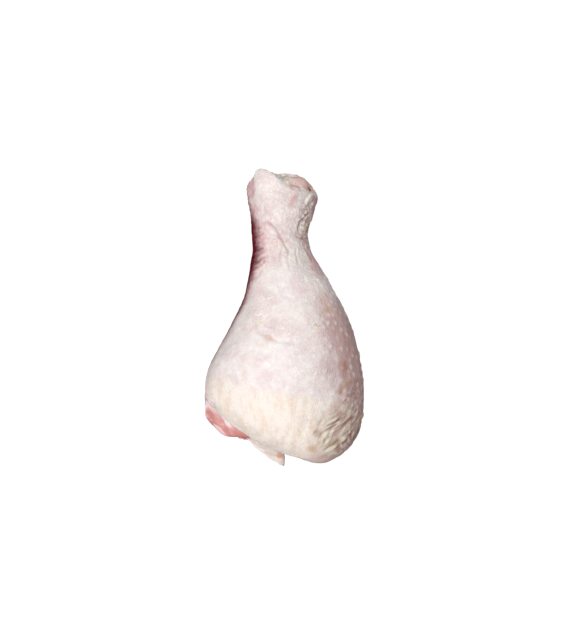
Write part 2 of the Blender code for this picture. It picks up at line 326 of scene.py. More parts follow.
MUSCLE_START = Patch(-32.6, -41.4, 4.0, 1.4, -35.0)
TONGUE_STAIN = Patch(-1.6, -60.0, 2.6, 1.8)

# The hock's tissue: its rings in the rim (size, way out and up), its bloody, tan and pale
# patches in the plan, and its folds with their heights. The first tan patch, just inside the front
# rim at the left of the opening, is partly painted shade.
TISSUE_RINGS = (
    (0.93, -4.0, 0.0), (0.93, -1.0, 0.0), (0.82, 0.1, 0.1), (0.60, 0.5, 0.3), (0.38, 0.7, 0.4),
    (0.16, 0.6, 0.4),
)
TISSUE_RED = (
    Patch(10.6, 57.8, 4.6, 1.8, -55.0),
    Patch(4.6, 57.2, 4.4, 1.2, -12.0),
    Patch(8.2, 60.6, 4.0, 1.6, -20.0),
)
TISSUE_TAN = (Patch(-4.2, 61.0, 4.2, 1.5, -48.0), Patch(1.6, 62.6, 2.4, 0.6, 5.0))
TISSUE_PALE = (Patch(4.0, 63.2, 5.0, 1.8, -10.0), Patch(-1.6, 61.6, 3.0, 1.6, -20.0))
TISSUE_FOLDS = (
    (((-1.0, 63.4), (3.0, 62.8), (6.6, 61.4), (9.4, 60.6)), 0.8),
    (((1.7, 61.1), (3.8, 60.4), (6.1, 59.3)), -0.9),
    (((0.6, 59.4), (4.0, 58.4), (8.0, 57.6)), 0.6),
    (((8.4, 59.6), (10.4, 58.4), (12.0, 56.2)), -0.8),
)
# The tongue's rings from its underside to its top: their sizes and heights in half thicknesses.
TONGUE_RINGS = ((0.80, -1.0), (0.94, -1.0), (1.0, -0.4), (1.0, 0.4), (0.94, 1.0), (0.80, 1.0))


# ---------------------------------------------------------------- small helpers


def soft(value):
    """Eases from 0 to 1."""
    value = min(1.0, max(0.0, value))
    return value * value * (3 - 2 * value)


def in_patch(patch, x, y, fade=0.6):
    """1 in the middle of a patch, easing to 0 at its edge."""
    dx, dy = x - patch.x, y - patch.y
    if abs(dx) > patch.along + patch.across or abs(dy) > patch.along + patch.across:
        return 0.0
    turn = math.radians(patch.turn)
    along = (dx * math.cos(turn) + dy * math.sin(turn)) / patch.along
    across = (dy * math.cos(turn) - dx * math.sin(turn)) / patch.across
    return soft((1 - math.hypot(along, across)) / fade)


def in_patches(patches, x, y, fade=0.6):
    return max(in_patch(patch, x, y, fade) for patch in patches)


def from_path(path, x, y):
    """The distance from a path in the plan, and how far along it as a share."""
    best, share = 1e9, 0.0
    spans = len(path) - 1
    for index in range(spans):
        (ax, ay), (bx, by) = path[index], path[index + 1]
        ux, uy = bx - ax, by - ay
        place = min(1.0, max(0.0, ((x - ax) * ux + (y - ay) * uy) / (ux * ux + uy * uy)))
        distance = math.hypot(x - ax - ux * place, y - ay - uy * place)
        if distance < best:
            best, share = distance, (index + place) / spans
    return best, share


def out_of_cut(x, y):
    """How far a place lies out of the knee cut, seen from above."""
    return (Vector((x, y)) - KNEE_LEFT).dot(CUT_OUTWARD)


def read_row(rows, y):
    """The values of a table's row at a height in the plan, between the rows that are given."""
    if y >= rows[0][0]:
        return rows[0][1:]
    for above, below in zip(rows, rows[1:]):
        if y >= below[0]:
            share = (above[0] - y) / (above[0] - below[0])
            return tuple(a + (b - a) * share for a, b in zip(above[1:], below[1:]))
    return rows[-1][1:]


def grain(x, y, z, size, seed=0.0):
    """Smooth noise from -1 to 1 with features of about this size."""
    return noise.noise(Vector((x / size + seed, y / size - seed, z / size + 0.5 * seed)))


def section_place(section, angle, wave):
    """A corner of a section's cage in the plan's millimetres, at an angle from its right side."""
    left, right = Vector(section.left), Vector(section.right)
    middle, half = (left + right) / 2, (right - left) / 2 * CORNER_RATIO
    outward = Vector((half.y, -half.x)).normalized()
    waist = section.low + WAIST_SHARE * (section.crown - section.low)
    across, up = math.cos(angle), math.sin(angle)
    reach = section.crown - waist if up > 0 else waist - section.low
    lean = section.crown_lean if up > 0 else -section.low_lean
    rise = sum(
        cosine * math.cos(count * angle) + sine * math.sin(count * angle)
        for count, (cosine, sine) in enumerate(RIM_WAVES, start=1)
    )
    place = middle + half * across + outward * (lean * up * abs(up) + wave * rise)
    return Vector((place.x, place.y, max(0.0, waist + reach * up * CORNER_RATIO)))


LEFT_EDGE = tuple((section.left[1], section.left[0]) for section in SLEEVE)
RIGHT_EDGE = tuple((section.right[1], section.right[0]) for section in SLEEVE[:-2])


def section_ring(section, wave=0.0):
    angles = (2 * math.pi * corner / SEGMENTS for corner in range(SEGMENTS))
    return [section_place(section, angle, wave) for angle in angles]


def sleeve_rings():
    rings = [section_ring(HOCK_RIM, 1.0), section_ring(SLEEVE[1], 0.4)]
    return rings + [section_ring(section) for section in SLEEVE[2:]]


def shrunk(ring, share, shift):
    centre = sum(ring, Vector()) / len(ring)
    return [centre + (corner - centre) * share + shift for corner in ring]


def grow_ring(mesh, corners, ring):
    """Extrudes the open edge through these corners to the next ring, and returns its corners."""
    rim = set(corners)
    edges = [edge for edge in mesh.edges if edge.verts[0] in rim and edge.verts[1] in rim]
    made = bmesh.ops.extrude_edge_only(mesh, edges=edges)["geom"]
    fresh = {item for item in made if isinstance(item, bmesh.types.BMVert)}
    grown = []
    for corner in corners:
        links = (edge.other_vert(corner) for edge in corner.link_edges)
        grown.append(next(other for other in links if other in fresh))
    for corner, place in zip(grown, ring):
        corner.co = place
    return grown


def loft(rings, levels, closed=True):
    """A smooth mesh, in the plan's millimetres, through rings of corners."""
    mesh = bmesh.new()
    corners = bmesh.ops.create_circle(mesh, segments=len(rings[0]), radius=1.0)["verts"]
    for corner, place in zip(corners, rings[0]):
        corner.co = place
    for ring in rings[1:]:
        corners = grow_ring(mesh, corners, ring)
    if closed:
        bmesh.ops.holes_fill(mesh, edges=[edge for edge in mesh.edges if edge.is_boundary], sides=0)
    bmesh.ops.recalc_face_normals(mesh, faces=mesh.faces)
    data = bpy.data.meshes.new("loft")
    mesh.to_mesh(data)
    mesh.free()
    cage = bpy.data.objects.new("loft", data)
    bpy.context.scene.collection.objects.link(cage)
    modifier = cage.modifiers.new("Smooth form", "SUBSURF")
    modifier.levels = modifier.render_levels = levels
    bpy.context.view_layer.update()
    evaluated = cage.evaluated_get(bpy.context.evaluated_depsgraph_get())
    smooth = bpy.data.meshes.new_from_object(evaluated)
    bpy.data.objects.remove(cage)
    mesh = bmesh.new()
    mesh.from_mesh(smooth)
    bpy.data.meshes.remove(smooth)
    bpy.data.meshes.remove(data)
    return mesh


def add_masks(mesh, *names):
    """Adds the attributes of these names, which the piece's material reads as masks."""
    return {name: mesh.verts.layers.float.new(name) for name in names}


def finished(mesh, name, node, material, replaced=True):
    """Moves a piece from the plan into the frame, and gives it its body, slot and material."""
    matrix = Matrix.Translation(PLAN_ORIGIN) @ Matrix.Scale(MM, 4)
    bmesh.ops.transform(mesh, matrix=matrix, verts=mesh.verts)
    for vert in mesh.verts:
        vert.co = [min(max(place, low), high) for place, low, high in zip(vert.co, *CAD_BOX)]
    data = bpy.data.meshes.new(name)
    mesh.to_mesh(data)
    mesh.free()
    data.shade_smooth()
    piece = bpy.data.objects.new(name, data)
    bpy.context.scene.collection.objects.link(piece)
    piece.data.materials.append(material)
    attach(piece, "root")
    if replaced:
        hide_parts(node)


def push(mesh, height_at):
    """Moves each vertex along its normal by height_at(vertex), in millimetres."""
    mesh.normal_update()
    heights = [height_at(vert) for vert in mesh.verts]
    moves = [vert.normal * height for vert, height in zip(mesh.verts, heights)]
    for vert, move in zip(mesh.verts, moves):
        vert.co += move
    mesh.normal_update()


def tint(name, description, default):
    """A setting that is a colour."""
    return FloatVectorProperty(name=name, description=description, subtype="COLOR", default=default)


def amount(name, description, default, low, high):
    """A setting that is a number between two bounds."""
    return FloatProperty(name=name, description=description, default=default, min=low, max=high)


# ---------------------------------------------------------------- materials

WET_IOR = 1.42


class Shader:
    """A material with one Principled BSDF, and short calls to build its nodes."""

    def __init__(self, name, **constants):
        self.material = bpy.data.materials.new(name)
        self.material.use_nodes = True
        self.tree = self.material.node_tree
        self.surface = self.tree.nodes["Principled BSDF"]
        for socket, value in constants.items():
            self.surface.inputs[socket.replace("_", " ")].default_value = value
        self.place = self.tree.nodes.new("ShaderNodeTexCoord").outputs["Object"]

    def feed(self, socket, value):
        """Links an input to another node's output, or sets its constant."""
        if isinstance(value, bpy.types.NodeSocket):
            self.tree.links.new(value, socket)
        else:
            socket.default_value = value

    def node(self, kind, inputs, **settings):
        made = self.tree.nodes.new(kind)
        for name, value in settings.items():
            setattr(made, name, value)
        for name, value in inputs.items():
            self.feed(made.inputs[name], value)
        return made

    def attribute(self, name):
        return self.node("ShaderNodeAttribute", {}, attribute_name=name).outputs["Fac"]

    def stretched(self, scale, turn=(0.0, 0.0, 0.0)):
        inputs = {"Vector": self.place, "Scale": scale, "Rotation": turn}
        return self.node("ShaderNodeMapping", inputs).outputs["Vector"]

    def noise(self, scale, detail=4.0, rough=0.6, vector=None):
        inputs = {"Vector": vector or self.place, "Scale": scale, "Detail": detail, "Roughness": rough}
        return self.node("ShaderNodeTexNoise", inputs).outputs["Fac"]

    def cell_edges(self, scale):
        inputs = {"Vector": self.place, "Scale": scale}
        made = self.node("ShaderNodeTexVoronoi", inputs, feature="DISTANCE_TO_EDGE")
        return made.outputs["Distance"]

    def ranged(self, value, low, high, to_low=0.0, to_high=1.0):
        limits = {"From Min": low, "From Max": high, "To Min": to_low, "To Max": to_high}
        inputs = {"Value": value, **limits}
        return self.node("ShaderNodeMapRange", inputs, interpolation_type="SMOOTHSTEP").outputs[0]

    def math(self, operation, first, second=0.0):
        made = self.node("ShaderNodeMath", {}, operation=operation)
        for socket, value in zip(made.inputs, (first, second)):
            self.feed(socket, value)
        return made.outputs[0]

    def mix(self, share, first, second, blend="MIX"):
        made = self.node("ShaderNodeMix", {}, data_type="RGBA", blend_type=blend)
        self.feed(made.inputs[0], share)
        for socket, value in zip(made.inputs[6:8], (first, second)):
            self.feed(socket, value if isinstance(value, bpy.types.NodeSocket) else (*value, 1.0))
        return made.outputs[2]

    def masked(self, under, **colours):
        """Lays each colour over what is under it, where the mask of its name says."""
        for name, colour in colours.items():
            under = self.mix(self.attribute(name), under, colour)
        return under

    def bump(self, height, strength, distance_mm, under=None):
        inputs = {"Height": height, "Strength": strength, "Distance": distance_mm * MM}
        if under:
            inputs["Normal"] = under
        return self.node("ShaderNodeBump", inputs).outputs["Normal"]

    def finish(self, colour, roughness=None, normal=None):
        """Links the surface's inputs, and returns the material."""
        for name, socket in (("Base Color", colour), ("Roughness", roughness), ("Normal", normal)):
            if socket:
                self.tree.links.new(socket, self.surface.inputs[name])
        return self.material


def wet_shader(name, coat, coat_roughness, scatter, depth, radius, **constants):
    """A shader for wet tissue: a clear coat, over flesh that light goes into."""
    return Shader(
        name, Coat_Weight=coat, Coat_Roughness=coat_roughness, Subsurface_Weight=scatter,
        Subsurface_Scale=depth, Subsurface_Radius=radius, IOR=WET_IOR, **constants,
    )


def skin_material(look):
    shader = wet_shader("raw_skin", 0.12, 0.22, 0.25, 0.0016, (1.0, 0.42, 0.28))
    drift = shader.noise(60.0, 3.0)
    mottle = shader.noise(260.0, 4.0, 0.65)
    clouds = shader.noise(120.0, 5.0, 0.7)
    fine = shader.noise(900.0, 3.0, 0.6)
    pale = shader.mix(shader.ranged(drift, 0.35, 0.65), look.pale, look.warm)
    pale = shader.mix(shader.ranged(clouds, 0.38, 0.68, 0.0, 0.75), pale, look.lilac)
    pale = shader.mix(shader.ranged(mottle, 0.52, 0.72, 0.0, 0.7), pale, look.follicle)
    pale = shader.mix(shader.ranged(mottle, 0.50, 0.28, 0.0, 0.22), pale, look.blush)

    # Painted highlight: fine pale lines, standing for the glints on wet wrinkles, where the drift lets them
    # through.
    off_line = shader.math("ABSOLUTE", shader.math("SUBTRACT", shader.noise(300.0, 1.5, 0.5), 0.5))
    thread = shader.ranged(off_line, 0.004, 0.030, 1.0, 0.0)
    highlight_lines = shader.math("MULTIPLY", thread, shader.ranged(drift, 0.44, 0.58))
    pale = shader.mix(shader.math("MULTIPLY", highlight_lines, 0.8), pale, look.follicle)

    def layer(under, name, colour, depth):
        """Lays a colour over the others where its mask says, broken up by the mottle."""
        broken = shader.math("ADD", shader.attribute(name), shader.ranged(mottle, 0.3, 0.7, -depth, 0.0))
        share = shader.math("MINIMUM", shader.math("MAXIMUM", broken, 0.0), 1.0)
        return shader.mix(share, under, colour)

    streaks = shader.noise(1.0, 3.0, 0.6, shader.stretched((420.0, 75.0, 260.0)))
    fat = shader.mix(shader.ranged(streaks, 0.40, 0.70), look.fat, look.fat_streak)
    colour = shader.masked(pale, lilac=look.lilac, fat=fat)
    # The grey layer is partly painted shade along the right edge, the cream layer partly a painted
    # highlight on the fold at the hock's right corner, and the tan layer partly painted shade below the
    # dent on the calf.
    for name, depth in (
        ("grey_and_edge_shade", 0.3), ("rust", 0.4), ("blush", 0.3), ("cream_and_fold_highlight", 0.2), ("tan", 0.3), ("blood", 0.12),
    ):
        colour = layer(colour, name, getattr(look, name), depth)
    # Painted highlight: the follicles' tops are lightened.
    colour = shader.masked(colour, bump=look.follicle)
    # Painted shade: darker in the creases and over the wrinkled patches.
    colour = shader.mix(shader.attribute("crease_shade"), colour, look.crease_shade, "MULTIPLY")
    # Painted highlight: a pale tint on the wrinkles' tops; then the inner side's own colour.
    colour = shader.masked(colour, crest=look.crest, inside=look.inside)
    # A fine random darkening, in the tint of the painted crease shade.
    colour = shader.mix(shader.ranged(fine, 0.35, 0.7, 0.0, 0.08), colour, look.crease_shade, "MULTIPLY")
    net = shader.bump(shader.ranged(shader.cell_edges(900.0), 0.0, 0.25), 0.35, 0.14)
    threads = shader.bump(highlight_lines, 0.6, 0.25, net)
    roughness = shader.ranged(mottle, 0.3, 0.7, 0.30, 0.52)
    return shader.finish(colour, roughness, shader.bump(fine, 0.75, 0.26, threads))


def meat_material(look):
    shader = wet_shader("raw_meat", 0.35, 0.12, 0.3, 0.0018, (1.0, 0.3, 0.2))
    to_fibres = (0.0, 0.0, -math.atan2(CUT_ALONG.y, CUT_ALONG.x))
    fibre = shader.noise(1.0, 4.0, 0.6, shader.stretched((120.0, 900.0, 700.0), to_fibres))
    mottle = shader.noise(180.0, 3.0, 0.6)
    flesh = shader.mix(shader.ranged(mottle, 0.35, 0.7), look.flesh, look.deep)
    flesh = shader.mix(shader.ranged(fibre, 0.5, 0.72, 0.0, 0.55), flesh, look.pale_flesh)
    flesh = shader.masked(flesh, deep=look.deep, silver=look.silver)
    roughness = shader.ranged(mottle, 0.3, 0.7, 0.20, 0.36)
    return shader.finish(flesh, roughness, shader.bump(fibre, 0.5, 0.22))


def shred_material(look):
    shader = Shader("torn_shreds", Roughness=0.3, Coat_Weight=0.3, IOR=WET_IOR)
    mottle = shader.noise(700.0, 3.0)
    colour = shader.mix(shader.ranged(mottle, 0.4, 0.6), look.shred, look.deep)
    return shader.finish(colour, normal=shader.bump(mottle, 0.4, 0.2))


def bone_material(look):
    shader = wet_shader("raw_bone", 0.3, 0.15, 0.3, 0.0015, (1.0, 0.6, 0.45))
    mottle, fine = shader.noise(220.0, 4.0, 0.6), shader.noise(1100.0, 3.0)
    bone = shader.mix(shader.ranged(mottle, 0.4, 0.65), look.gristle, look.bone)
    bone = shader.masked(bone, shaft=look.shaft, blush=look.stain)
    roughness = shader.ranged(mottle, 0.3, 0.7, 0.25, 0.42)
    return shader.finish(bone, roughness, shader.bump(shader.math("ADD", mottle, fine), 0.3, 0.25))


def tissue_material(look):
    shader = wet_shader("torn_tissue", 0.35, 0.15, 0.3, 0.0016, (1.0, 0.4, 0.3))
    mottle, fine = shader.noise(330.0, 4.0, 0.65), shader.noise(1000.0, 3.0)
    tissue = shader.mix(shader.ranged(mottle, 0.35, 0.65), look.gristle, look.tendon)
    # The tan mask is partly painted shade, just inside the front rim at the left of the opening.
    tissue = shader.masked(tissue, blush=look.stain, tan=look.tan, pale=look.membrane)
    roughness = shader.ranged(mottle, 0.3, 0.7, 0.22, 0.40)
    return shader.finish(tissue, roughness, shader.bump(shader.math("ADD", mottle, fine), 0.45, 0.3))


def tongue_material(look):
    shader = wet_shader("wet_cartilage", 0.4, 0.10, 0.5, 0.0020, (1.0, 0.8, 0.7))
    mottle = shader.noise(240.0, 3.0, 0.6)
    base = shader.mix(shader.ranged(mottle, 0.4, 0.7), look.cartilage, look.cartilage_shade)
    base = shader.masked(base, blush=look.stain, tan=look.tan)
    roughness = shader.ranged(mottle, 0.3, 0.7, 0.18, 0.32)
    return shader.finish(base, roughness, shader.bump(mottle, 0.3, 0.25))


# ---------------------------------------------------------------- the skin


def follicle_tree(mesh, spacing):
    """Places follicles over the skin, no two nearer than the spacing, in a tree to look them up."""
    taken = {}
    picked = []
    order = sorted(mesh.verts, key=lambda vert: noise.cell(vert.co * 7.3 + Vector((vert.index, 0, 0))))
    for vert in order:
        cell = tuple(int(math.floor(value / spacing)) for value in vert.co)
        near = (
            taken.get((cell[0] + a, cell[1] + b, cell[2] + c))
            for a in (-1, 0, 1) for b in (-1, 0, 1) for c in (-1, 0, 1)
        )
        if any(other is not None and (other - vert.co).length < spacing for other in near):
            continue
        taken[cell] = vert.co.copy()
        picked.append(vert.co.copy())
    tree = kdtree.KDTree(len(picked))
    for index, place in enumerate(picked):
        tree.insert(place, index)
    tree.balance()
    return tree


def fold_height(x, y):
    """The folds' relief in the plan, and how deep in a crease the place is."""
    height, deep = 0.0, 0.0
    for fold in FOLDS:
        reach = 4 * fold.width
        if not min(p[0] for p in fold.path) - reach < x < max(p[0] for p in fold.path) + reach:
            continue
        if not min(p[1] for p in fold.path) - reach < y < max(p[1] for p in fold.path) + reach:
            continue
        distance, share = from_path(fold.path, x, y)
        if distance > reach:
            continue
        taper = soft(share / 0.2) * soft((1 - share) / 0.2) if 0 < share < 1 else 0.0
        pit = math.exp(-((distance / fold.width) ** 2))
        side = math.exp(-(((distance - 2.2 * fold.width) / fold.width) ** 2))
        height += fold.depth * taper * (fold.shoulder * side - pit)
        deep = max(deep, pit * taper * min(1.0, fold.depth / 0.7))
    return height, deep


SKIN_MASKS = (
    "fat", "lilac", "blush", "blood", "rust", "grey_and_edge_shade", "tan", "cream_and_fold_highlight", "bump", "crest", "crease_shade",
    "inside",
)


class SkinRelief:
    """The relief and the colour masks of the skin, worked out at each of its points."""

    def __init__(self, mesh, look):
        self.look = look
        self.layers = add_masks(mesh, *SKIN_MASKS)
        self.follicles = follicle_tree(mesh, look.follicle_spacing)

    def __call__(self, vert):
        """Paints the masks at a vertex, and returns how far it moves out."""
        look = self.look
        x, y, z = vert.co
        top = soft((vert.normal.z + 0.15) / 0.35)
        warp_x, warp_y = 0.5 * grain(x, y, z, 3.0, 3.1), 0.5 * grain(x, y, z, 3.0, 8.7)
        folds, deep = fold_height(x + warp_x, y + warp_y)
        lobe, lobe_height = self.hock_lobe(x, y, z)
        bump = self.follicle(vert, top)
        ridge, ridged = self.wrinkles(x, y, z, top)
        seams, net_height = self.creases(x, y, z)
        fat, fat_height = self.fat(x, y, z)
        self.paint(vert, top, bump, max(deep * top, seams), fat, ridge, ridged, lobe)
        uneven = look.lumps * (0.45 * grain(x, y, z, 15.0) + 0.25 * grain(x, y, z, 6.0, 4.0))
        swellings = sum(rise * in_patch(patch, x, y, 1.0) for patch, rise in LUMPS)
        raised = look.follicle_height * bump + look.ridge_height * ridge
        on_top = (folds + swellings + self.calf_arcs(x, y, z)) * top
        return uneven + on_top + raised + lobe_height + net_height + fat_height

    def hock_lobe(self, x, y, z):
        """The striped lobe at the hock's left, a step lower than the hood: its mask and height."""
        lobe = soft((-12.4 - x + 0.8 * grain(0.0, y, z, 3.0, 29.0)) / 1.6) * soft((y - 50.8) / 2.0)
        stripes = math.sin(math.tau * (y + 0.6 * grain(x, y, z, 4.0, 30.0)) / 1.3)
        return lobe, lobe * (0.16 * stripes - 0.6)

    def follicle(self, vert, top):
        """A follicle's bump: strong on the right flank and below, faint at the left and the hock."""
        x, y, z = vert.co
        _, _, distance = self.follicles.find(vert.co)
        leg = soft((30.0 - y) / 14.0) * soft((y + 50.0) / 12.0)
        flank = soft((x - 4.0) / 14.0) * top + 0.6 * (1 - top)
        share = leg * (0.12 + 0.7 * flank) * (0.6 + 1.3 * grain(x, y, z, 4.5, 2.0))
        return math.exp(-((distance / self.look.follicle_size) ** 2) * 2.2) * max(0.0, share)

    def wrinkles(self, x, y, z, top):
        """Fine diagonal ridges at the lower right, and all round the knee end below."""
        ridged = max(in_patch(RIDGED_PATCH, x, y, 0.6), 0.55 * in_patch(FINE_FLANK, x, y, 0.7)) * top
        around = soft((-34.0 - y) / 12.0) * (1 - top) * soft((-4.0 - out_of_cut(x, y)) / 6.0) * 0.7
        if ridged + around <= 0:
            return 0.0, ridged
        lie = math.radians(57.0 + 16.0 * grain(x, y, 0.0, 16.0, 6.0))
        across = x * math.sin(lie) - y * math.cos(lie) + 0.2 * z
        onward = x * math.cos(lie) + y * math.sin(lie)
        broad = 1 - 2.8 * abs(noise.noise(Vector((across / 1.7, onward / 6.0, z / 9.0))))
        thin = 1 - 2.8 * abs(noise.noise(Vector((across / 0.9 + 9.0, onward / 3.5, z / 6.0))))
        return (0.62 * broad + 0.38 * thin - 0.25) * max(ridged, around), ridged

    def creases(self, x, y, z):
        """A pebbly net of creases, strongest at the right of the shank: its depth and height."""
        shank = soft((y - 14.0) / 12.0) * soft((62.0 - y) / 8.0)
        knobbly = in_patch(KNOBBLY_PATCH, x, y, 0.8)
        place = Vector((x + 0.5 * grain(x, y, z, 1.6, 24.0), 0.8 * y + 0.4 * x, z))
        (first, second, *_), _ = noise.voronoi(place / 2.1)
        seam = math.exp(-(((second - first) / 0.20) ** 2))
        net = (0.45 + 0.35 * shank + knobbly) * (0.55 + 0.9 * grain(x, y, z, 5.0, 12.0))
        height = 0.35 * knobbly * (0.5 - first) - 0.24 * seam * max(0.0, net)
        seams = seam * max(0.7 * knobbly, 0.22 * shank)
        (first, second, *_), _ = noise.voronoi(place / 1.05 + Vector((7.0, 3.0, 1.0)))
        height -= 0.07 * math.exp(-(((second - first) / 0.25) ** 2)) * (0.5 + shank)
        return seams, height + 0.09 * shank * grain(x / 3.2, y, z / 3.2, 0.9, 1.0)

    def calf_arcs(self, x, y, z):
        arcs = 1 - 3.0 * abs(grain(x + 1.4 * y, 2.6 * y - 0.8 * x, z, 3.0, 14.0))
        return 0.16 * max(0.0, arcs) * in_patch(CALF_WRINKLES, x, y)

    def fat(self, x, y, z):
        """The fat over the knee end, with a ragged edge and upright streaks: its mask and height."""
        edge = -32.0 - (x + 4.0) * (0.24 if x < -4.0 else 0.126)
        ragged = 2.6 * grain(x, 0.25 * y, z, 2.3, 7.0) + 1.4 * grain(x, 0.4 * y, z, 5.5, 7.5)
        fat = soft((edge + ragged - y + 2.2) / 5.6)
        upright = grain(x + 0.12 * y, y / 5.0, z, 1.7, 11.0)
        return fat, 0.16 * fat * upright * soft((y + 62.0) / 14.0) + 0.05 * grain(x, y, z, 1.5, 13.0)

    def paint(self, vert, top, bump, deep, fat, ridge, ridged, lobe):
        layers = self.layers
        x, y, z = vert.co
        patchy = grain(x, y, z, 5.0, 21.0)
        below = 1 - top
        wobble_x, wobble_y = x + grain(x, y, z, 4.0, 17.0), y + grain(x, y, z, 4.0, 18.0)
        from_left = x - read_row(LEFT_EDGE, y)[0]
        from_right = read_row(RIGHT_EDGE, y)[0] - x
        width, strength = read_row(BRUISE, y)
        width *= 1 + 0.25 * grain(0.0, y, z, 2.2, 22.0) + 0.25 * grain(x, y, z, 1.6, 23.0)
        bruise = strength * math.exp(-((max(0.0, from_left) / width) ** 2) * 1.1)
        spread = strength * math.exp(-(max(0.0, from_left) / (2.0 * width + 0.8)) ** 2)
        # Painted shade, with some of the flank's own duskier tone: the skin darkens towards the right edge
        # over the flank; along the shank's right edge it is painted shade only.
        flank = soft(1.2 - from_right / (18.0 + 5.0 * patchy)) * soft((22.0 - y) / 26.0)
        shank_edge_shade = soft(1.0 - from_right / 3.4) * soft((y - 14.0) / 8.0) * soft((52.0 - y) / 6.0)

        def marks(patches, fade=0.9):
            return in_patches(patches, wobble_x, wobble_y, fade)

        spots = marks(DARK_SPOTS, 0.8)
        blushes = (
            marks(BLUSH_PATCHES) * (0.6 + 0.4 * top) * 0.7,
            0.35 * marks(PINK_PATCHES, 1.0),
            0.45 * deep,
            0.8 * spread,
            lobe * (0.8 + 0.3 * grain(x, y, z, 2.4, 28.0)),
            below * soft(patchy) * 0.4,
        )
        # The first tan patch is painted shade below the dent on the calf.
        tan_and_dent_shade = 0.75 * in_patches(TAN_PATCHES, x + 0.5 * patchy, y, 0.9)
        vert[layers["fat"]] = fat * (1.0 - 0.4 * below)
        vert[layers["lilac"]] = 0.6 * marks(LILAC_PATCHES, 1.0) * top + below * soft(0.5 + patchy) * 0.5
        vert[layers["blush"]] = max(blushes)
        vert[layers["blood"]] = max(1.1 * bruise, 0.7 * spots)
        vert[layers["rust"]] = 0.95 * marks(RUST_PATCHES) * top
        # The grey patches are the skin's own; the rest of this mask is painted shade along the right edge.
        vert[layers["grey_and_edge_shade"]] = max(0.7 * marks(GREY_PATCHES), flank, 0.6 * shank_edge_shade)
        vert[layers["tan"]] = max(tan_and_dent_shade, self.quill(x, y)) * top
        # One cream patch, at the hock's right corner, is a painted highlight on the fold.
        vert[layers["cream_and_fold_highlight"]] = marks(CREAM_PATCHES, 1.0) * top
        # Painted highlight on the follicles' tops.
        vert[layers["bump"]] = min(1.0, 0.6 * bump)
        # Painted highlight on the wrinkles' tops.
        vert[layers["crest"]] = min(1.0, max(0.0, 1.8 * ridge - 0.1))
        # Painted shade in the creases, between the wrinkles' tops and over the wrinkled patch.
        vert[layers["crease_shade"]] = min(1.0, 0.9 * deep + max(0.0, -0.7 * ridge) + 0.36 * ridged)

    def quill(self, x, y):
        return max(soft((0.45 - from_path(path, x, y)[0]) / 0.3) for path in QUILLS)


LIP_TURNS = (30.0, 75.0, 120.0, 165.0)


def rim_of(mesh, hock):
    """The open rim's corners at the hock or at the knee."""
    return [vert for vert in mesh.verts if vert.is_boundary and (vert.co.y > 20.0) == hock]


def rolled_lip(mesh, corners, out, thickness):
    """Rolls the open rim inwards over a rounded lip."""
    starts = [(corner.co.copy(), corner.normal.copy()) for corner in corners]
    for turn in LIP_TURNS:
        angle = math.radians(turn)
        inward = thickness / 2 * (1 - math.cos(angle))
        onward = thickness / 2 * math.sin(angle)
        ring = [place - normal * inward + out * onward for place, normal in starts]
        corners = grow_ring(mesh, corners, ring)


class DrumstickSkinSettings(bpy.types.PropertyGroup):
    thickness: amount("Thickness", "Thickness of the skin in millimetres", 1.5, 0.5, 3.0)
    hock_lip: amount("Hock lip", "Thickness of the skin's rim at the hock in millimetres", 0.9, 0.3, 2.5)
    knee_lip: amount("Knee lip", "Thickness of the skin's rim at the knee in millimetres", 0.8, 0.3, 2.5)
    smooth_levels: IntProperty(
        name="Detail", description="How often the skin's surface is divided", default=4, min=1, max=4
    )
    lumps: amount("Lumps", "Strength of the soft unevenness", 1.0, 0.0, 3.0)
    follicle_spacing: amount(
        "Follicle spacing", "Least distance between two follicles, in millimetres", 3.1, 2.0, 8.0,
    )
    follicle_size: amount("Follicle size", "Reach of a follicle's bump in millimetres", 1.45, 0.3, 3.0)
    follicle_height: amount("Follicle height", "Height of a follicle's bump in millimetres", 0.42, 0.0, 1.5)
    ridge_height: amount(
        "Ridge height", "Height of the wrinkles at the knee end, in millimetres", 0.46, 0.0, 3.0,
    )
    pale: tint("Pale skin", "Colour of the skin over the calf", (0.84, 0.785, 0.77))
    warm: tint("Warm skin", "Colour of the skin's warmer clouds", (0.84, 0.77, 0.73))
    lilac: tint("Lilac", "Colour where the flesh shows through", (0.735, 0.6, 0.615))
    fat: tint("Fat", "Colour of the fat under the skin", (0.9, 0.81, 0.745))
    fat_streak: tint("Fat streaks", "Colour between the fat's lobes", (0.82, 0.69, 0.59))
    blush: tint("Blush", "Colour of the pink places", (0.68, 0.36, 0.38))
    blood: tint("Blood", "Colour of the bruised strip", (0.15, 0.002, 0.016))
    rust: tint("Rust", "Colour of the rusty patch", (0.46, 0.25, 0.2))
    # Partly painted shade: laid on the grey patches, and darkening the skin along the right edge over the
    # flank and the shank.
    grey_and_edge_shade: tint("Grey", "Colour of the grey flank", (0.58, 0.35, 0.33))
    # Partly painted shade, below the dent on the calf.
    tan: tint("Tan", "Colour of the tan marks", (0.62, 0.42, 0.26))
    # Painted highlight: the pale tint on the wrinkles' tops.
    crest: tint("Wrinkle tops", "Colour on top of the wrinkles", (0.80, 0.74, 0.62))
    # Also a painted highlight, on the fold at the hock's right corner.
    cream_and_fold_highlight: tint("Cream", "Colour of the yellowish fat spots", (0.86, 0.78, 0.60))
    # Painted highlight: the whitish tint on the follicles' tops and on the fine wet lines; it also colours
    # the paler random flecks.
    follicle: tint("Follicles", "Colour on top of the follicles", (0.93, 0.88, 0.86))
    # Painted shade: the darker tint in the creases and over the wrinkled patches; also used for a fine
    # random darkening.
    crease_shade: tint("Creases", "Tint in the creases", (0.46, 0.32, 0.25))
    inside: tint("Inner side", "Colour of the skin's inner side", (0.70, 0.52, 0.46))


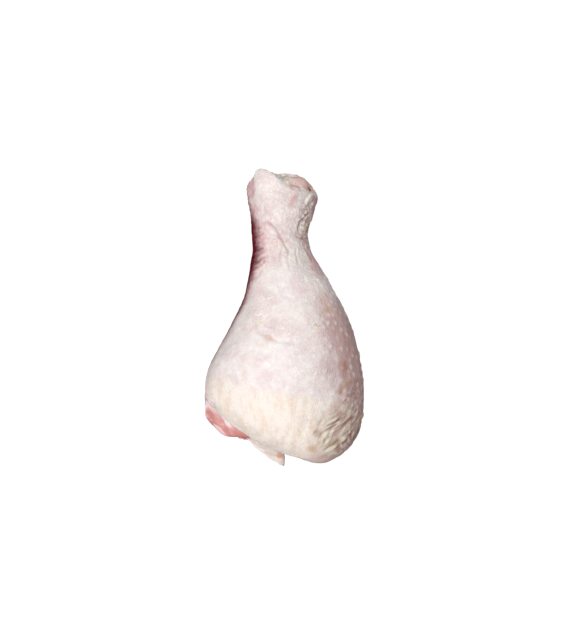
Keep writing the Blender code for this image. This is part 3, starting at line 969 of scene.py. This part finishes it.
class DRUMSTICK_OT_make_skin(bpy.types.Operator):
    """Builds the skin: a sleeve with follicles, folds and wrinkles, open at the hock and the knee"""

    bl_idname = "drumstick.make_skin"
    bl_label = "Make the skin"

    def execute(self, context):
        look = context.scene.drumstick_skin
        mesh = loft(sleeve_rings(), look.smooth_levels, closed=False)
        relief = SkinRelief(mesh, look)
        hock, knee = rim_of(mesh, hock=True), rim_of(mesh, hock=False)
        push(mesh, relief)
        self.tear(mesh, hock + knee)
        self.add_inner_wall(mesh, hock, knee, look)
        finished(mesh, "drumstick_skin", "skin", skin_material(look))
        return {"FINISHED"}

    def tear(self, mesh, rims):
        """Rounds the skin over towards its two rims, and frays it there."""
        rim = kdtree.KDTree(len(rims))
        for index, corner in enumerate(rims):
            rim.insert(corner.co, index)
        rim.balance()
        moves = []
        for vert in mesh.verts:
            x, y, z = vert.co
            move = Vector()
            from_cut = out_of_cut(x, y)
            if y > 48.0:
                _, _, distance = rim.find(vert.co)
                move -= vert.normal * 0.5 * max(0.0, 1 - distance / 1.6) ** 2
                near = soft((y - 53.0) / 6.0)
                rough = grain(x, 0.0, z, 2.6, 31.0) + 0.6 * grain(x, 0.0, z, 1.1, 32.0)
                move.y += 0.45 * rough * near - 0.35 * near * soft((z - 14.0) / 6.0)
            elif from_cut > -6.0 and y < 0:
                _, _, distance = rim.find(vert.co)
                move -= vert.normal * 0.5 * max(0.0, 1 - distance / 2.0) ** 2
                corner = soft(1 - (Vector((x, y)) - KNEE_LEFT).length / 12.0)
                rough = grain(x, y, z, 3.0, 33.0) + 0.5 * grain(x, y, z, 1.2, 34.0)
                fray = (0.22 * rough - 0.4 * corner) * soft((from_cut + 3.0) / 3.0)
                move += CUT_OUTWARD.to_3d() * fray
            moves.append(move)
        for vert, move in zip(mesh.verts, moves):
            vert.co += move
        mesh.normal_update()

    def add_inner_wall(self, mesh, hock, knee, look):
        """Rolls both rims inwards, and joins them by a coarser wall inside the sleeve."""
        outside = set(mesh.verts)
        rolled_lip(mesh, hock, OUT_OF_HOCK, look.hock_lip)
        rolled_lip(mesh, knee, OUT_OF_KNEE, look.knee_lip)
        wall = loft(sleeve_rings(), 2, closed=False)
        push(wall, lambda vert: -(look.thickness + 0.3))
        data = bpy.data.meshes.new("wall")
        wall.to_mesh(data)
        wall.free()
        mesh.from_mesh(data)
        bpy.data.meshes.remove(data)
        for at_hock in (True, False):
            rim = set(rim_of(mesh, at_hock))
            edges = [edge for edge in mesh.edges if edge.is_boundary and set(edge.verts) <= rim]
            bmesh.ops.bridge_loops(mesh, edges=edges)
        bmesh.ops.recalc_face_normals(mesh, faces=mesh.faces)
        inside = mesh.verts.layers.float["inside"]
        for vert in mesh.verts:
            if vert not in outside:
                vert[inside] = 0.8
        mesh.normal_update()


# ---------------------------------------------------------------- the meat


def flesh_height(corner, look):
    """How far the meat stands out of the knee cut at this corner."""
    place = (Vector(corner[:2]) - KNEE_LEFT).dot(CUT_ALONG) / CUT_LENGTH
    off_middle = min(1.0, abs(place - 0.22) / 0.27)
    share_up = (corner.z - KNEE_RIM.low) / (KNEE_RIM.crown - KNEE_RIM.low)
    return look.bulge * math.sqrt(1 - off_middle**2) * min(1.0, max(0.0, 2.5 * share_up))


def bulged(ring, share, lift, onward, look):
    """A smaller copy of the cut's ring, drawn to the muscle at its left and bulged out of the cut."""
    to_left = Vector((*-CUT_ALONG, 0.0))
    drawn = shrunk(ring, share, to_left * MUSCLE_SHIFT * (1 - share) + OUT_OF_KNEE * onward)
    return [corner + OUT_OF_KNEE * flesh_height(corner, look) * lift for corner in drawn]


class DrumstickMeatSettings(bpy.types.PropertyGroup):
    bulge: amount("Bulge", "How far the calf muscle stands out of the cut, in millimetres", 9.0, 0.0, 15.0)
    gap: amount("Inset", "How far the meat lies under the skin's surface, in millimetres", 2.0, 1.9, 4.0)
    flesh: tint("Flesh", "Colour of the muscle", (0.74, 0.42, 0.42))
    pale_flesh: tint("Pale flesh", "Colour of the muscle's pale fibres", (0.82, 0.6, 0.58))
    deep: tint("Deep flesh", "Colour of the darkest muscle", (0.56, 0.2, 0.18))
    shreds: IntProperty(
        name="Shreds", description="How many frayed shreds hang at the muscle's end", default=9,
        min=2, max=20,
    )
    shred: tint("Shreds' colour", "Colour of the frayed shreds", (0.26, 0.07, 0.06))
    silver: tint("Silver skin", "Colour of the membrane over the muscle", (0.86, 0.74, 0.73))


class DRUMSTICK_OT_make_meat(bpy.types.Operator):
    """Builds the meat, with the fibres and silver streaks of the muscle in the knee cut"""

    bl_idname = "drumstick.make_meat"
    bl_label = "Make the meat"

    def execute(self, context):
        look = context.scene.drumstick_meat
        rings = sleeve_rings()[MEAT_STARTS:]
        start, knee = rings[0], rings.pop()
        top = [shrunk(start, 0.55, Vector((0, 3.0, 0))), shrunk(start, 0.85, Vector((0, 2.0, 0)))]
        dome = [bulged(knee, *row, look) for row in DOME_RINGS]
        mesh = loft(top + rings + dome, 3)
        push(mesh, lambda vert: -look.gap + self.fullness(vert, look.gap))
        shown = [vert for vert in mesh.verts if out_of_cut(*vert.co[:2]) > -4.0]
        faces = {face for vert in shown for face in vert.link_faces}
        edges = list({edge for face in faces for edge in face.edges})
        bmesh.ops.subdivide_edges(mesh, edges=edges, cuts=1, use_grid_fill=True, smooth=0.0)
        self.masks = add_masks(mesh, "deep", "silver")
        push(mesh, self.fibres)
        finished(mesh, "drumstick_meat", "meat", meat_material(look))
        return {"FINISHED"}

    def fullness(self, vert, gap):
        """How much the meat fills out again beyond the skin's rim, most at the rim's left corner."""
        near = (Vector(vert.co[:2]) - KNEE_LEFT).length
        corner = soft(1.6 - near / 9.0)
        beyond = soft((out_of_cut(*vert.co[:2]) + 2.0 + 2.0 * corner) / 2.5)
        return (gap - 1.2 + 0.5 * corner + 1.3 * soft(1.5 - near / 5.0)) * beyond

    def fibres(self, vert):
        x, y, z = vert.co
        out = out_of_cut(x, y)
        along = (Vector((x, y)) - KNEE_LEFT).dot(CUT_ALONG)
        shown = soft((out + 4.0) / 3.0)
        bend = 1.4 * grain(x, y, z, 5.0, 41.0)
        strands = noise.noise(Vector((along / 7.0, (out + bend) / 1.3, z / 1.8)))
        cords = noise.noise(Vector((along / 11.0, (out + bend) / 3.2, z / 3.2 + 5.0)))
        streak = soft((cords - 0.04) / 0.09) * soft((out - 0.5) / 1.5) * soft((17.0 - along) / 3.0)
        tip = soft((along - 15.5) / 4.0)
        rim = soft((out - 6.0 + 1.6 * grain(x, y, z, 2.6, 43.0)) / 1.5)
        start = in_patch(MUSCLE_START, x, y, 0.9)
        vert[self.masks["deep"]] = max(0.8 * rim, 0.85 * tip, 0.8 * start, soft((13.0 - z) / 6.0) * 0.6)
        vert[self.masks["silver"]] = max(
            streak * (1 - 0.4 * rim) * 0.9,
            0.85 * soft((3.4 - out) / 2.4) * soft((13.0 - along) / 6.0) * (1 - start),
        )
        return shown * (0.24 * strands + 0.50 * cords + 0.10 * grain(x, y, z, 1.0, 42.0) - 0.1)


class DRUMSTICK_OT_make_shreds(bpy.types.Operator):
    """Builds the frayed shreds where the muscle tears off at the cut"""

    bl_idname = "drumstick.make_shreds"
    bl_label = "Make the shreds"

    def execute(self, context):
        look = context.scene.drumstick_meat
        context.view_layer.update()
        mesh = bmesh.new()
        for index in range(look.shreds):
            sway = noise.noise(Vector((index * 1.7, 4.0, 9.0)))
            x, y = SHREDS_LEFT
            x += SHREDS_WIDTH * index / (look.shreds - 1)
            root = self.muscle_edge(x, y + 0.4 * sway)
            if root:
                self.add_strand(mesh, root, sway)
        bmesh.ops.subdivide_edges(mesh, edges=mesh.edges, cuts=2, use_grid_fill=True)
        push(mesh, lambda vert: 0.16 * grain(*vert.co, 0.7, 44.0))
        finished(mesh, "drumstick_shreds", "meat", shred_material(look), replaced=False)
        return {"FINISHED"}

    def muscle_edge(self, x, y):
        """The last place on the muscle, seen from above, on the way from here out of the cut."""
        meat = bpy.data.objects["drumstick_meat"]
        place, hit = None, True
        while hit:
            above = PLAN_ORIGIN + Vector((x, y, 60.0)) * MM
            hit, found, _, _ = meat.ray_cast(above, Vector((0.0, 0.0, -1.0)))
            if hit:
                place = (found - PLAN_ORIGIN) / MM
            y -= 0.2
        return place

    def add_strand(self, mesh, root, sway):
        length = 1.5 + 1.2 * abs(sway)
        strand = bmesh.ops.create_cone(
            mesh, cap_ends=True, segments=6, radius1=0.34, radius2=0.10, depth=length
        )["verts"]
        aim = Vector((0.5 + 0.9 * sway, -1.0, 0.25 * sway)).normalized()
        middle = root + aim * (length / 2 - 0.5) - Vector((0, 0, 0.3))
        turn = aim.to_track_quat("Z", "Y").to_matrix().to_4x4()
        bmesh.ops.transform(mesh, matrix=Matrix.Translation(middle) @ turn, verts=strand)


# ---------------------------------------------------------------- the bone and the hock's tissue


def bone_ring(section):
    ring = []
    for corner in range(BONE_SEGMENTS):
        angle = 2 * math.pi * corner / BONE_SEGMENTS
        across, up = math.cos(angle), math.sin(angle)
        height = section.half_height * (1 - section.groove * (1 - abs(across)))
        ring.append(Vector(section.middle) + Vector((section.half_width * across, 0.0, height * up)))
    return ring


class DrumstickBoneSettings(bpy.types.PropertyGroup):
    gristle: tint("Gristle", "Colour of the cartilage on the bone's ends", (0.95, 0.87, 0.8))
    bone: tint("Bone", "Colour of the bone's ends", (0.64, 0.52, 0.45))
    shaft: tint("Shaft", "Colour of the bone's shaft", (0.52, 0.36, 0.33))
    tendon: tint("Tendon", "Colour of the torn tendons in the hock", (0.93, 0.8, 0.74))
    stain: tint("Stain", "Colour of the bloody places", (0.76, 0.45, 0.41))
    # Partly painted shade: the tan just inside the hock's front rim, at the left of its opening.
    tan: tint("Tan", "Colour of the dried places", (0.74, 0.55, 0.39))
    membrane: tint("Membrane", "Colour of the whitish membrane", (0.95, 0.93, 0.9))


class DRUMSTICK_OT_make_bone(bpy.types.Operator):
    """Builds the shin bone, with its knuckle in the hock and its head in the knee cut"""

    bl_idname = "drumstick.make_bone"
    bl_label = "Make the bone"

    def execute(self, context):
        look = context.scene.drumstick_bone
        mesh = loft([bone_ring(section) for section in BONE], 3)
        self.masks = add_masks(mesh, "shaft", "blush")
        push(mesh, self.knobs)
        finished(mesh, "drumstick_bone", "shin_bone", bone_material(look))
        return {"FINISHED"}

    def knobs(self, vert):
        x, y, z = vert.co
        shaft = soft((46.0 - y) / 8.0) * soft((y + 34.0) / 8.0)
        to_right = soft((x - 1.0 + 3 * grain(x, y, z, 4.0, 51.0)) / 7.0)
        vert[self.masks["shaft"]] = shaft
        vert[self.masks["blush"]] = 0.7 * to_right * soft((y - 44.0) / 8.0)
        return 0.35 * grain(x, y, z, 5.0, 52.0) + 0.18 * grain(x, y, z, 1.8, 53.0) * (1 - shaft)


class DRUMSTICK_OT_make_hock_tissue(bpy.types.Operator):
    """Builds the torn tendons and membranes round the knuckle in the hock's rim"""

    bl_idname = "drumstick.make_hock_tissue"
    bl_label = "Make the hock's tissue"

    def execute(self, context):
        look = context.scene.drumstick_bone
        rim = section_ring(HOCK_RIM, 1.0)
        deep = section_ring(SLEEVE[2])
        rings = [shrunk(deep, 0.55, Vector((0, -1.0, 0))), shrunk(deep, 0.82, Vector((0, 1.0, 0)))]
        rings += [shrunk(rim, share, Vector((0, onward, up))) for share, onward, up in TISSUE_RINGS]
        mesh = loft(rings, 4)
        self.masks = add_masks(mesh, "blush", "tan", "pale")
        push(mesh, self.strands)
        finished(mesh, "drumstick_hock_tissue", "shin_bone", tissue_material(look), replaced=False)
        return {"FINISHED"}

    def strands(self, vert):
        x, y, z = vert.co
        wobble_x, wobble_y = x + 0.8 * grain(x, y, z, 2.4, 61.0), y + 0.8 * grain(x, y, z, 2.4, 62.0)
        for name, patches in (("blush", TISSUE_RED), ("tan", TISSUE_TAN), ("pale", TISSUE_PALE)):
            vert[self.masks[name]] = in_patches(patches, wobble_x, wobble_y, 0.9)
        ridges = sum(
            depth * math.exp(-((from_path(path, wobble_x, wobble_y)[0] / 0.6) ** 2))
            for path, depth in TISSUE_FOLDS
        )
        fold = 1 - 2.4 * abs(grain(x, y, z, 3.4, 63.0))
        return ridges + 0.3 * fold + 0.2 * grain(x, y, z, 1.4, 64.0) - 0.3


# ---------------------------------------------------------------- the knee's cartilage


class DrumstickCartilageSettings(bpy.types.PropertyGroup):
    thickness: amount("Thickness", "Thickness of the tongue in millimetres", 1.8, 0.5, 3.0)
    cartilage: tint("Cartilage", "Colour of the tongue", (0.8, 0.74, 0.7))
    cartilage_shade: tint("Clouded cartilage", "Colour of its denser clouds", (0.74, 0.65, 0.58))
    stain: tint("Stain", "Colour of the bloody spot", (0.80, 0.42, 0.31))
    tan: tint("Dried tip", "Colour of the dried edge", (0.48, 0.36, 0.28))


class DRUMSTICK_OT_make_cartilage(bpy.types.Operator):
    """Builds the tongue of cartilage under the skin's edge at the knee"""

    bl_idname = "drumstick.make_cartilage"
    bl_label = "Make the knee cartilage"

    def execute(self, context):
        look = context.scene.drumstick_cartilage
        half = look.thickness / 2
        outline = [Vector((x, y, TONGUE_HEIGHT)) for x, y in TONGUE_OUTLINE]
        rings = [shrunk(outline, share, Vector((0, 0, half * rise))) for share, rise in TONGUE_RINGS]
        mesh = loft(rings, 4)
        self.masks = add_masks(mesh, "blush", "tan")
        push(mesh, self.ripples)
        finished(mesh, "drumstick_knee_cartilage", "knee_cartilage", tongue_material(look))
        return {"FINISHED"}

    def ripples(self, vert):
        x, y, z = vert.co
        tip = soft((x + 0.9 + 0.6 * grain(x, y, z, 2.0, 71.0)) / 1.2)
        vert[self.masks["blush"]] = in_patch(TONGUE_STAIN, x, y, 0.8)
        vert[self.masks["tan"]] = 0.3 * soft((x + 4.5) / 3.0) + 0.55 * tip
        return 0.30 * grain(x, y, z, 3.0, 72.0) + 0.12 * grain(x, y, z, 1.2, 73.0) - 0.1


# ---------------------------------------------------------------- the stage

SENSOR_WIDTH = 36.0
VIEW_MIDDLE = Vector((0.436, 1.309, 18.0))
WHITE = (1.0, 1.0, 1.0, 1.0)


class DrumstickStageSettings(bpy.types.PropertyGroup):
    view_height: FloatProperty(
        name="View height", description="How much of the floor the picture is tall, in metres",
        default=0.27483, unit="LENGTH",
    )
    lens: FloatProperty(name="Lens", description="Focal length in millimetres", default=120.0)
    key_power: amount("Key light", "Power of the large light in watts", 4.35, 0.0, 100.0)
    fill: amount("Fill", "Strength of the light from all round", 0.45, 0.0, 10.0)
    floor: tint("Floor", "Colour of the floor", (0.12, 0.12, 0.12))


class DRUMSTICK_OT_make_stage(bpy.types.Operator):
    """Sets the floor, the soft light and the camera above the drumstick"""

    bl_idname = "drumstick.make_stage"
    bl_label = "Make the stage"

    def execute(self, context):
        look = context.scene.drumstick_stage
        self.add_floor(context, look)
        self.add_lights(context, look)
        self.add_camera(context, look)
        context.scene.view_settings.view_transform = "Standard"
        context.scene.view_settings.look = "None"
        return {"FINISHED"}

    def add_floor(self, context, look):
        mesh = bmesh.new()
        bmesh.ops.create_grid(mesh, x_segments=2, y_segments=2, size=1.5)
        data = bpy.data.meshes.new("floor")
        mesh.to_mesh(data)
        mesh.free()
        floor = bpy.data.objects.new("floor", data)
        context.scene.collection.objects.link(floor)
        shader = Shader(
            "pale_floor", Base_Color=(*look.floor, 1.0), Roughness=0.9, Emission_Color=WHITE,
            Emission_Strength=0.97, Specular_IOR_Level=0.0,
        )
        data.materials.append(shader.material)
        floor.visible_diffuse = floor.visible_glossy = floor.visible_transmission = False

    def add_lights(self, context, look):
        for name, place, length, width, power in (
            ("key", (-0.33, -0.04, 0.73), 1.3, 0.5, look.key_power),
            ("top", (0.05, -0.15, 0.95), 0.7, 0.7, look.key_power * 0.30),
            ("hock_side", (0.10, 0.75, 0.42), 0.5, 0.5, look.key_power * 0.40),
            ("knee_side", (-0.42, -0.62, 0.36), 0.5, 0.5, look.key_power * 0.30),
        ):
            lamp = bpy.data.lights.new(name, "AREA")
            lamp.shape = "RECTANGLE"
            lamp.size = length
            lamp.size_y = width
            lamp.energy = power
            light = bpy.data.objects.new(name, lamp)
            light.location = place
            light.rotation_euler = (-Vector(place)).to_track_quat("-Z", "Y").to_euler()
            context.scene.collection.objects.link(light)
        world = bpy.data.worlds.new("studio")
        world.use_nodes = True
        background = world.node_tree.nodes["Background"]
        background.inputs["Color"].default_value = WHITE
        background.inputs["Strength"].default_value = look.fill
        world.cycles_visibility.glossy = False
        context.scene.world = world

    def add_camera(self, context, look):
        data = bpy.data.cameras.new("camera")
        data.lens = look.lens
        data.sensor_width = SENSOR_WIDTH
        data.clip_start = 0.01
        middle = PLAN_ORIGIN + VIEW_MIDDLE * MM
        distance = look.view_height * look.lens / SENSOR_WIDTH
        camera = bpy.data.objects.new("camera", data)
        camera.location = middle + Vector((0.0, 0.0, distance))
        context.scene.collection.objects.link(camera)
        context.scene.camera = camera


# ---------------------------------------------------------------- the add-on


class DRUMSTICK_PT_panel(bpy.types.Panel):
    """Lists the drumstick's pieces and their settings"""

    bl_idname = "DRUMSTICK_PT_panel"
    bl_label = "Drumstick"
    bl_space_type = "VIEW_3D"
    bl_region_type = "UI"
    bl_category = "Drumstick"

    def draw(self, context):
        for group, _, operators in PARTS:
            box = self.layout.box()
            settings = getattr(context.scene, group)
            for name in settings.bl_rna.properties.keys():
                if name not in ("rna_type", "name"):
                    box.prop(settings, name)
            for operator in operators:
                box.operator(operator.bl_idname)


PARTS = (
    ("drumstick_skin", DrumstickSkinSettings, (DRUMSTICK_OT_make_skin,)),
    (
        "drumstick_meat", DrumstickMeatSettings,
        (DRUMSTICK_OT_make_meat, DRUMSTICK_OT_make_shreds),
    ),
    (
        "drumstick_bone", DrumstickBoneSettings,
        (DRUMSTICK_OT_make_bone, DRUMSTICK_OT_make_hock_tissue),
    ),
    ("drumstick_cartilage", DrumstickCartilageSettings, (DRUMSTICK_OT_make_cartilage,)),
    ("drumstick_stage", DrumstickStageSettings, (DRUMSTICK_OT_make_stage,)),
)


def register():
    for group, settings, operators in PARTS:
        bpy.utils.register_class(settings)
        for operator in operators:
            bpy.utils.register_class(operator)
        setattr(bpy.types.Scene, group, PointerProperty(type=settings))
    bpy.utils.register_class(DRUMSTICK_PT_panel)


def unregister():
    bpy.utils.unregister_class(DRUMSTICK_PT_panel)
    for group, settings, operators in reversed(PARTS):
        delattr(bpy.types.Scene, group)
        for operator in operators:
            bpy.utils.unregister_class(operator)
        bpy.utils.unregister_class(settings)


def main():
    register()
    bpy.ops.drumstick.make_skin()
    bpy.ops.drumstick.make_meat()
    bpy.ops.drumstick.make_shreds()
    bpy.ops.drumstick.make_bone()
    bpy.ops.drumstick.make_hock_tissue()
    bpy.ops.drumstick.make_cartilage()
    bpy.ops.drumstick.make_stage()


if __name__ == "__main__":
    main()
